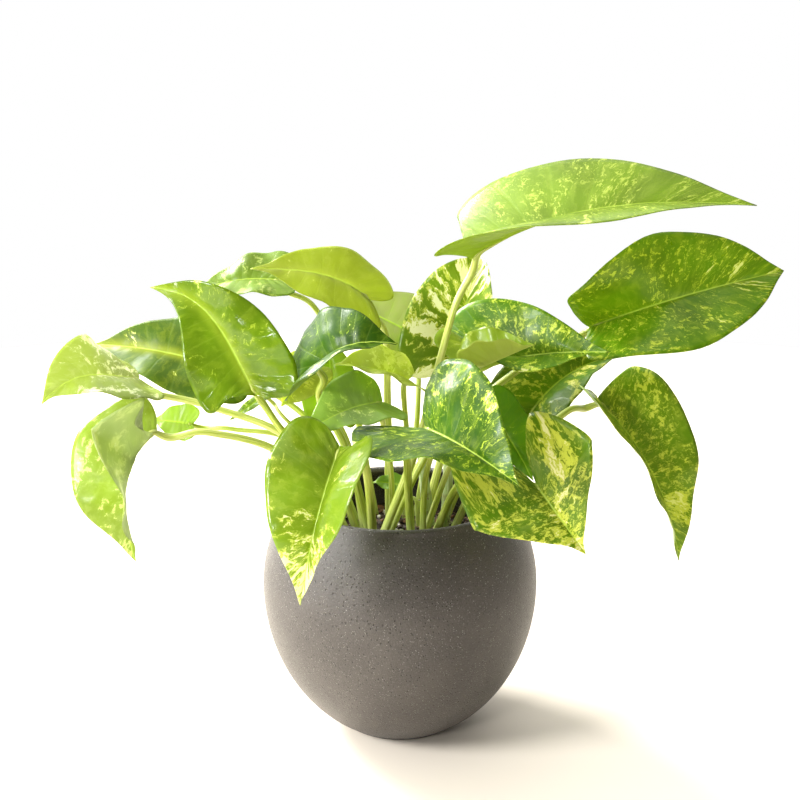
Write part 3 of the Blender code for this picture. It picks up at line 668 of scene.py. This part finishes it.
def add_blade(leaf, look, seed):
    """A closed shell, quilted between its side veins, with a groove above and a ridge below the midrib."""
    frame_of_leaf = blade_frame(leaf)
    length = frame_of_leaf[1]
    rows = SIDE_VEINS * ROWS_PER_VEIN
    margins = {side: margin_of(leaf, side, length, rows) for side in (-1, 1)}
    shape = bmesh.new()
    upper_mark = shape.verts.layers.float.new("upper")
    uv = shape.loops.layers.uv.new("blade")
    flat = {}

    def layer(x, y, row, column, is_upper):
        """One vertex of the upper or the lower skin."""
        share = abs(column) / BLADE_COLUMNS
        v = y / length
        point, out = blade_point(leaf, frame_of_leaf, x, y)
        body = smooth_step(0, 0.12, share) * (1 - smooth_step(0.75, 1.0, share))
        quilt = QUILT_HEIGHT * body * (math.sin(math.pi * row / ROWS_PER_VEIN) ** 2 - 0.5)
        wave_side = 1.7 if x > 0 else 0.0
        wave = math.sin(2 * math.pi * (MARGIN_WAVES * v + 0.37 * seed) + wave_side) * look.ripple * share**2
        wave *= smooth_step(0, 0.2, v + 0.15) * (1 - smooth_step(0.85, 1.0, v))
        slow = noise.noise(Vector((x / SLOW_SWELL_LENGTH, y / SLOW_SWELL_LENGTH, seed * 7.3)))
        swell = slow * look.ripple * SLOW_SWELL_HEIGHT * smooth_step(0, 0.5, share)
        quick = noise.noise(Vector((x / QUICK_SWELL_WIDTH, y / QUICK_SWELL_LENGTH, seed * 3.1)))
        swell += quick * look.ripple * QUICK_SWELL_HEIGHT * smooth_step(0, 0.3, share)
        half = between(HALF_THICKNESS, MARGIN_HALF_THICKNESS, share**6)
        rib = bump_shape(x, MIDRIB_HALF_WIDTH)
        if is_upper:
            rise = half - MIDRIB_GROOVE * rib * (1 - smooth_step(0.8, 1.0, v))
        else:
            rise = -half - MIDRIB_RIDGE * rib * (1 - smooth_step(0.0, 1.0, v))
        vertex = shape.verts.new((point + out * (rise + quilt + wave + swell)) * MM)
        vertex[upper_mark] = 1.0 if is_upper else 0.0
        return vertex

    grids = []
    for is_upper in (True, False):
        ends = [layer(0, 0, 0, 0, is_upper), layer(0, length, rows, 0, is_upper)]
        flat[ends[0]] = (0.0, 0.0)
        flat[ends[1]] = (0.0, length)
        lines = []
        for row in range(1, rows):
            start = length * (row / rows) ** VEIN_CROWDING
            line = []
            for column in range(-BLADE_COLUMNS, BLADE_COLUMNS + 1):
                edge = margins[-1 if column < 0 else 1][row]
                share = (abs(column) / BLADE_COLUMNS) ** COLUMN_CROWDING
                x = edge.x * share
                y = between(start, edge.y, share)
                vertex = layer(x, y, row, column, is_upper)
                flat[vertex] = (x, start)
                line.append(vertex)
            lines.append(line)
        grids.append((ends, lines))
    for (ends, lines), is_upper in zip(grids, (True, False)):
        for low, high in zip(lines, lines[1:]):
            for i in range(len(low) - 1):
                shape.faces.new((low[i], low[i + 1], high[i + 1], high[i]))
        for i in range(2 * BLADE_COLUMNS):
            shape.faces.new((ends[0], lines[0][i + 1], lines[0][i]))
            shape.faces.new((ends[1], lines[-1][i], lines[-1][i + 1]))
    (top_ends, top), (low_ends, low) = grids
    rims = []
    for side in (0, -1):
        rims.append([top_ends[0], *(line[side] for line in top), top_ends[1]])
        rims.append([low_ends[0], *(line[side] for line in low), low_ends[1]])
    for first, second in ((rims[0], rims[1]), (rims[2], rims[3])):
        for a, b, c, d in zip(first, first[1:], second[1:], second):
            shape.faces.new((a, b, c, d))
    bmesh.ops.recalc_face_normals(shape, faces=shape.faces)
    for face in shape.faces:
        for loop in face.loops:
            loop[uv].uv = flat[loop.vert]
    material = blade_material(leaf, look, length, seed)
    return add_piece("blade_" + leaf.name, shape, material, "leaf_blade", "leaf_" + leaf.name)


def soil_height(x, y):
    return SOIL_EDGE_HEIGHT + SOIL_DOME * max(0.0, 1 - (x * x + y * y) / POT_MOUTH_RADIUS**2)


def tube(shape, path, radii, sides, groove=None, scars=None):
    """Adds a closed tube along the path. groove is the depth of the channel on its upper side, per point."""
    uv = shape.loops.layers.uv.get("stalk") or shape.loops.layers.uv.new("stalk")
    scar_mark = shape.verts.layers.float.get("scar") or shape.verts.layers.float.new("scar")
    groove = groove or [0.0] * len(path)
    scars = scars or [0.0] * len(path)
    upward = Vector((0, -0.3, 1))
    rings, walked, before = [], 0.0, None
    for index, place in enumerate(path):
        ahead = (path[min(index + 1, len(path) - 1)] - path[max(index - 1, 0)]).normalized()
        reference = before if before else upward
        across = ahead.cross(reference).normalized()
        top = across.cross(ahead).normalized()
        before = top
        if index:
            walked += (place - path[index - 1]).length
        ring = []
        for side in range(sides):
            angle = 2 * math.pi * side / sides
            from_top = min(angle, 2 * math.pi - angle)
            radius = radii[index] * (1 - groove[index] * bump_shape(from_top, 0.6))
            spoke = (top * math.cos(angle) + across * math.sin(angle)) * radius
            vertex = shape.verts.new((place + spoke) * MM)
            vertex[scar_mark] = scars[index]
            ring.append(vertex)
        rings.append((ring, walked))
    for (low, low_walk), (high, high_walk) in zip(rings, rings[1:]):
        for side in range(sides):
            after = (side + 1) % sides
            face = shape.faces.new((low[side], low[after], high[after], high[side]))
            girth = radii[0] * 2 * math.pi / sides
            places = ((side, low_walk), (side + 1, low_walk), (side + 1, high_walk), (side, high_walk))
            for loop, (turn, walk) in zip(face.loops, places):
                loop[uv].uv = (turn * girth, walk)
    for ring, walk in (rings[0], rings[-1]):
        cap = shape.faces.new(ring)
        for loop in cap.loops:
            loop[uv].uv = (0.0, walk)


def stalk_stops(leaf):
    """The stalk's centre line from inside the mix to the notch, and on along the underside of the midrib."""
    frame_of_leaf = blade_frame(leaf)
    notch, length, along, _, upper = frame_of_leaf
    upper = (upper - along * 4 * leaf.bow).normalized()
    (x, y), *stops = leaf.stalk
    arrival = (notch - Vector(stops[-1])).normalized()
    arrival = (arrival + UPRIGHT_ARRIVAL * upper).normalized()
    knee = notch - arrival * KNEE_LENGTH
    foot = Vector((x, y, soil_height(x, y)))
    foot = foot - (Vector(stops[0]) - foot).normalized() * FOOT_DEPTH
    under = []
    for share in (0.03, 0.1, 0.2):
        point, out = blade_point(leaf, frame_of_leaf, 0, share * length)
        under.append(point - out * between(1.1, 0.45, share * 5))
    return [foot, *stops, knee, *under]


def add_stalk(leaf, seed):
    stops = stalk_stops(leaf)
    path = smooth_path(stops, STALK_RINGS)
    knee_share = (len(stops) - 4) / (len(stops) - 1)
    radii, groove = [], []
    for index in range(STALK_RINGS):
        share = index / (STALK_RINGS - 1)
        before_knee = min(1.0, share / knee_share)
        taper = smooth_step(0.0, 0.7, before_knee)
        radius = leaf.stalk_radius * between(STALK_FOOT_SHARE, STALK_KNEE_SHARE, taper)
        radius *= 1 + KNEE_SWELLING * bump_shape(share - knee_share - 0.02, 0.05)
        fade = smooth_step(knee_share, 1.0, share)
        radii.append(between(radius, STALK_END_RADIUS, fade))
        channel = between(CHANNEL_DEPTH_AT_FOOT, CHANNEL_DEPTH_AT_KNEE, before_knee)
        groove.append(channel * (1 - fade))
    shape = bmesh.new()
    tube(shape, path, radii, STALK_SIDES, groove)
    bmesh.ops.recalc_face_normals(shape, faces=shape.faces)
    pale, green = STALK_COLOURS[seed % len(STALK_COLOURS)]
    material = stalk_material("stalk_" + leaf.name, pale, green, seed)
    add_piece("stalk_" + leaf.name, shape, material, "leaf_stalk", "petiole_" + leaf.name)


STALK_COLOURS = (
    (0xD0D67A, 0xA6B640),
    (0xCAD268, 0x9CAE36),
    (0xD6DA84, 0xAEBC4C),
    (0xC4CE60, 0x96AA30),
)


def add_vine(name, foot, stops, seed):
    """A bare vine with two swollen joints, brown scars round them and a few root stubs near its foot."""
    x, y = foot
    base = Vector((x, y, soil_height(x, y)))
    base = base - (Vector(stops[0]) - base).normalized() * FOOT_DEPTH
    path = smooth_path([base, *stops], VINE_RINGS)
    radii, scars = [], []
    for index in range(len(path)):
        share = index / (len(path) - 1)
        swell = sum(bump_shape(share - joint, 0.035) for joint in VINE_JOINTS)
        radii.append(between(VINE_RADIUS, VINE_TIP_RADIUS, share**3) * (0.94 + 0.1 * swell))
        scars.append(min(1.0, sum(bump_shape(share - joint - 0.02, 0.018) for joint in VINE_JOINTS)))
    shape = bmesh.new()
    tube(shape, path, radii, STALK_SIDES, [0.06] * len(path), scars)
    draw = np.random.default_rng(seed)
    for share in ROOT_STUBS:
        start = path[int(share * (len(path) - 1))]
        angle = draw.uniform(math.pi, 2 * math.pi)
        out = Vector((math.cos(angle), math.sin(angle), -0.25)).normalized()
        stub = [start + out * (VINE_RADIUS * 0.6 + reach) for reach in (0, 1.0, 2.0, 2.8)]
        tube(shape, stub, [0.8, 0.7, 0.5, 0.15], 8, None, [1.0] * 4)
    bmesh.ops.recalc_face_normals(shape, faces=shape.faces)
    add_piece(name + "_stem", shape, vine_material(name, seed), "vine_skin", name)


def pot_radius(height):
    """The outer radius of the pot at this height."""
    depth = POT_LOWER_DEPTH if height < POT_BELLY_HEIGHT else POT_RADIUS
    return POT_RADIUS * math.sqrt(1 - ((height - POT_BELLY_HEIGHT) / depth) ** 2)


POT_MOUTH_RADIUS = pot_radius(POT_HEIGHT) - POT_WALL


def rounded(centre, radius, start, end, count):
    """Points of an arc in the pot's profile, its angles in degrees from straight out."""
    points = []
    for step in range(count):
        angle = math.radians(between(start, end, step / (count - 1)))
        points.append((centre[0] + radius * math.cos(angle), centre[1] + radius * math.sin(angle)))
    return points


def add_pot():
    """A wall of even thickness on a foot ring round a shallow hollow, with a rounded lip."""
    lip_round = POT_WALL / 2
    lip_top = POT_HEIGHT - lip_round
    lip_centre = (pot_radius(lip_top) - lip_round, lip_top)
    foot = pot_radius(FOOT_ROUND)
    ring = foot - FOOT_RING
    profile = [(0.0, FOOT_HOLLOW), (ring - FOOT_BEVEL, FOOT_HOLLOW), (ring, 0.0)]
    profile += rounded((foot - FOOT_ROUND - 1.2, FOOT_ROUND), FOOT_ROUND, -90, -30, 7)
    for step in range(56):
        height = between(FOOT_ROUND + 1.4, lip_top - 1.0, step / 55)
        profile.append((pot_radius(height), height))
    profile += rounded(lip_centre, lip_round, 8, 178, 13)
    inner_height = POT_FLOOR + POT_INNER_ROUND
    for step in range(40):
        height = between(lip_top - 1.5, inner_height, step / 39)
        profile.append((pot_radius(height) - POT_WALL, height))
    inner = pot_radius(inner_height) - POT_WALL
    profile += rounded((inner - POT_INNER_ROUND, inner_height), POT_INNER_ROUND, -10, -90, 8)
    profile += [(inner * 0.5, POT_FLOOR), (0.0, POT_FLOOR)]
    shape = bmesh.new()
    turn_profile(shape, profile, POT_SIDES)
    add_piece("planter", shape, stoneware_material(), "stoneware", "pot")


def turn_profile(shape, profile, sides):
    """Adds a closed solid of revolution. The profile runs (radius, height) from the axis, out and back."""
    rings = []
    for radius, height in profile:
        if radius == 0:
            rings.append([shape.verts.new((0, 0, height * MM))] * sides)
            continue
        ring = []
        for side in range(sides):
            angle = 2 * math.pi * side / sides
            place = Vector((radius * math.cos(angle), radius * math.sin(angle), height))
            ring.append(shape.verts.new(place * MM))
        rings.append(ring)
    for low, high in zip(rings, rings[1:]):
        for side in range(sides):
            after = (side + 1) % sides
            corners = dict.fromkeys((low[side], low[after], high[after], high[side]))
            shape.faces.new(tuple(corners))
    bmesh.ops.recalc_face_normals(shape, faces=shape.faces)


def add_soil():
    """The filled body of mix under a crumbly, slightly domed top."""
    reach = pot_radius(SOIL_EDGE_HEIGHT) - POT_WALL - SOIL_GAP
    profile = [(0.0, SOIL_BASE)]
    for step in range(14):
        height = between(SOIL_BASE, SOIL_EDGE_HEIGHT - 1, step / 13)
        profile.append((pot_radius(height) - POT_WALL - SOIL_GAP, height))
    for step in range(SOIL_RINGS):
        radius = reach * (1 - step / SOIL_RINGS)
        profile.append((radius, soil_height(radius, 0)))
    profile.append((0.0, soil_height(0, 0)))
    shape = bmesh.new()
    turn_profile(shape, profile, 150)
    for vertex in shape.verts:
        x, y, z = vertex.co / MM
        if z > SOIL_EDGE_HEIGHT - 0.5:
            lumps = noise.fractal(Vector((x / LUMP_SIZE, y / LUMP_SIZE, 3)), 0.9, 2.1, 4)
            dips = noise.noise(Vector((x / DIP_SIZE, y / DIP_SIZE, 8)))
            vertex.co.z += (LUMP_HEIGHT * lumps + DIP_DEPTH * dips - SETTLED) * MM
    material = ground_material("dark_mix", 0x1E1611, 0x3A2B20, 0x6B5340, 1.8)
    add_piece("mix_body", shape, material, "potting_mix", "potting_soil")


def scatter_spots(draw, count, reach):
    """Places spread evenly over the mix, as (x, y)."""
    spots = []
    for _ in range(count):
        angle = draw.uniform(0, 2 * math.pi)
        radius = reach * math.sqrt(draw.uniform(0, 1))
        spots.append((radius * math.cos(angle), radius * math.sin(angle)))
    return spots


def add_lumps(name, material, count, smallest, largest, flatness, raggedness, seed):
    """Irregular lumps lying in the top of the mix. flatness is each one's height for its length."""
    draw = np.random.default_rng(seed)
    shape = bmesh.new()
    for x, y in scatter_spots(draw, count, POT_MOUTH_RADIUS - 2):
        size = draw.uniform(smallest, largest) / 2
        squash = Matrix.Diagonal((size, size * draw.uniform(0.55, 0.9), size * flatness, 1))
        tilt = Matrix.Rotation(draw.uniform(-0.5, 0.5), 4, "X")
        tilt = tilt @ Matrix.Rotation(draw.uniform(-0.5, 0.5), 4, "Y")
        turn = Matrix.Rotation(draw.uniform(0, 2 * math.pi), 4, "Z")
        lift = soil_height(x, y) + size * flatness * 0.5
        place = Matrix.Translation((x, y, lift)) @ turn @ tilt @ squash
        made = bmesh.ops.create_icosphere(shape, subdivisions=2, radius=1.0)
        shift = Vector(draw.uniform(0, 90, 3))
        for vertex in made["verts"]:
            push = noise.noise(vertex.co * 1.1 + shift) + 0.5 * noise.cell(vertex.co * 1.6 + shift)
            vertex.co = place @ (vertex.co * (1 + raggedness * push)) * MM
    add_piece(name, shape, material, "potting_mix")


def add_roots(seed):
    """Fine dead roots and fibres that wander over the mix."""
    draw = np.random.default_rng(seed)
    shape = bmesh.new()
    for x, y in scatter_spots(draw, ROOTS, POT_MOUTH_RADIUS - 6):
        heading = draw.uniform(0, 2 * math.pi)
        stops = []
        for step in range(6):
            if math.hypot(x, y) < POT_MOUTH_RADIUS - 2:
                stops.append((x, y, soil_height(x, y) + 1.2 + 1.6 * abs(math.sin(step * 1.4 + heading))))
            heading += draw.uniform(-0.9, 0.9)
            x += ROOT_STEP * math.cos(heading)
            y += ROOT_STEP * math.sin(heading)
        if len(stops) > 2:
            shares = [index / (ROOT_RINGS - 1) for index in range(ROOT_RINGS)]
            radii = [between(ROOT_RADIUS, ROOT_TIP_RADIUS, share) for share in shares]
            tube(shape, smooth_path(stops, ROOT_RINGS), radii, 6)
    bmesh.ops.recalc_face_normals(shape, faces=shape.faces)
    material = ground_material("dead_root", 0x4A3525, 0x8A6B4A, 0xC2A67C, 1.0, 0.8, 0.1)
    add_piece("fine_roots", shape, material, "potting_mix")


def add_light(name, place, target, size, power, colour=(1.0, 1.0, 1.0)):
    light = bpy.data.lights.new(name, "AREA")
    light.shape = "DISK"
    light.size = size
    light.energy = power
    light.color = colour
    lamp = bpy.data.objects.new(name, light)
    lamp.location = place
    lamp.rotation_euler = (Vector(target) - Vector(place)).to_track_quat("-Z", "Y").to_euler()
    bpy.context.scene.collection.objects.link(lamp)


def add_world():
    """White to the eye; as a light it is bright behind and to the left, and dim towards the front right."""
    world = bpy.data.worlds.new("studio")
    bpy.context.scene.world = world
    world.use_nodes = True
    tree = world.node_tree
    sky = tree.nodes["Background"]
    direction = tree.nodes.new("ShaderNodeTexCoord").outputs["Generated"]
    facing = tree.nodes.new("ShaderNodeVectorMath")
    facing.operation = "DOT_PRODUCT"
    facing.inputs[1].default_value = Vector((-0.7, 0.7, 0.2)).normalized()
    tree.links.new(direction, facing.inputs[0])
    strength = tree.nodes.new("ShaderNodeMapRange")
    strength.interpolation_type = "SMOOTHSTEP"
    for socket, value in zip(strength.inputs[1:5], (-0.45, 0.95, 0.2, 2.5)):
        socket.default_value = value
    tree.links.new(facing.outputs["Value"], strength.inputs[0])
    seen = tree.nodes.new("ShaderNodeMix")
    seen.inputs[3].default_value = 1.0
    tree.links.new(tree.nodes.new("ShaderNodeLightPath").outputs["Is Camera Ray"], seen.inputs[0])
    tree.links.new(strength.outputs[0], seen.inputs[2])
    tree.links.new(seen.outputs[0], sky.inputs["Strength"])
    sky.inputs["Color"].default_value = (1.0, 1.0, 1.0, 1.0)


def add_studio():
    """A plain pale floor, with soft light from the back left, a low fill and a small glint from the front."""
    shape = bmesh.new()
    bmesh.ops.create_circle(shape, cap_ends=True, segments=96, radius=1.3)
    mesh = bpy.data.meshes.new("floor")
    shape.to_mesh(mesh)
    shape.free()
    mesh.materials.append(studio_material("pale_floor", 0xE8DECE))
    floor = bpy.data.objects.new("floor", mesh)
    floor.location.z = -0.0005
    bpy.context.scene.collection.objects.link(floor)
    add_world()
    add_light("window", (-0.9, 0.8, 0.9), (0, 0, 0.17), 0.7, 56.0, (1.0, 0.99, 0.96))
    add_light("front_left", (-1.1, -0.6, 0.75), (0, 0, 0.12), 0.45, 27.0, (0.97, 0.98, 1.0))
    add_light("glint", (-0.5, -0.85, 0.42), (0, 0, 0.18), 0.14, 3.0)


def add_camera():
    """The photograph's viewing angle: from the front, a little above the leaves."""
    camera_data = bpy.data.cameras.new("camera")
    camera_data.lens = 52.2
    camera_data.sensor_width = 36.0
    camera = bpy.data.objects.new("camera", camera_data)
    camera.location = (0.0, -0.603, 0.319)
    camera.rotation_euler = (math.radians(90 - 12.87), 0.0, 0.0)
    bpy.context.scene.collection.objects.link(camera)
    bpy.context.scene.camera = camera


def main():
    bpy.context.scene.view_settings.view_transform = "Standard"
    add_camera()
    add_studio()
    add_pot()
    add_soil()
    crumb = ground_material("crumb", 0x241A13, 0x46352A, 0x75604B)
    add_lumps("mix_crumbs", crumb, 620, 1.2, 3.4, 0.7, 0.3, 11)
    bark = ground_material("bark", 0x3C2516, 0x6E4A2E, 0x9C7650)
    add_lumps("bark_bits", bark, 120, 3.0, 7.0, 0.3, 0.35, 12)
    perlite = ground_material("perlite", 0xB9B4A6, 0xD8D4C8, 0xF2F0EA, 1.0)
    add_lumps("perlite", perlite, 95, 1.6, 3.6, 0.75, 0.3, 13)
    add_roots(14)
    for seed, leaf in enumerate(LEAVES):
        add_blade(leaf, LOOKS[leaf.name], seed)
        add_stalk(leaf, seed)
    for seed, (name, (foot, *stops)) in enumerate(VINES.items()):
        add_vine(name, foot, stops, 30 + seed)


main()
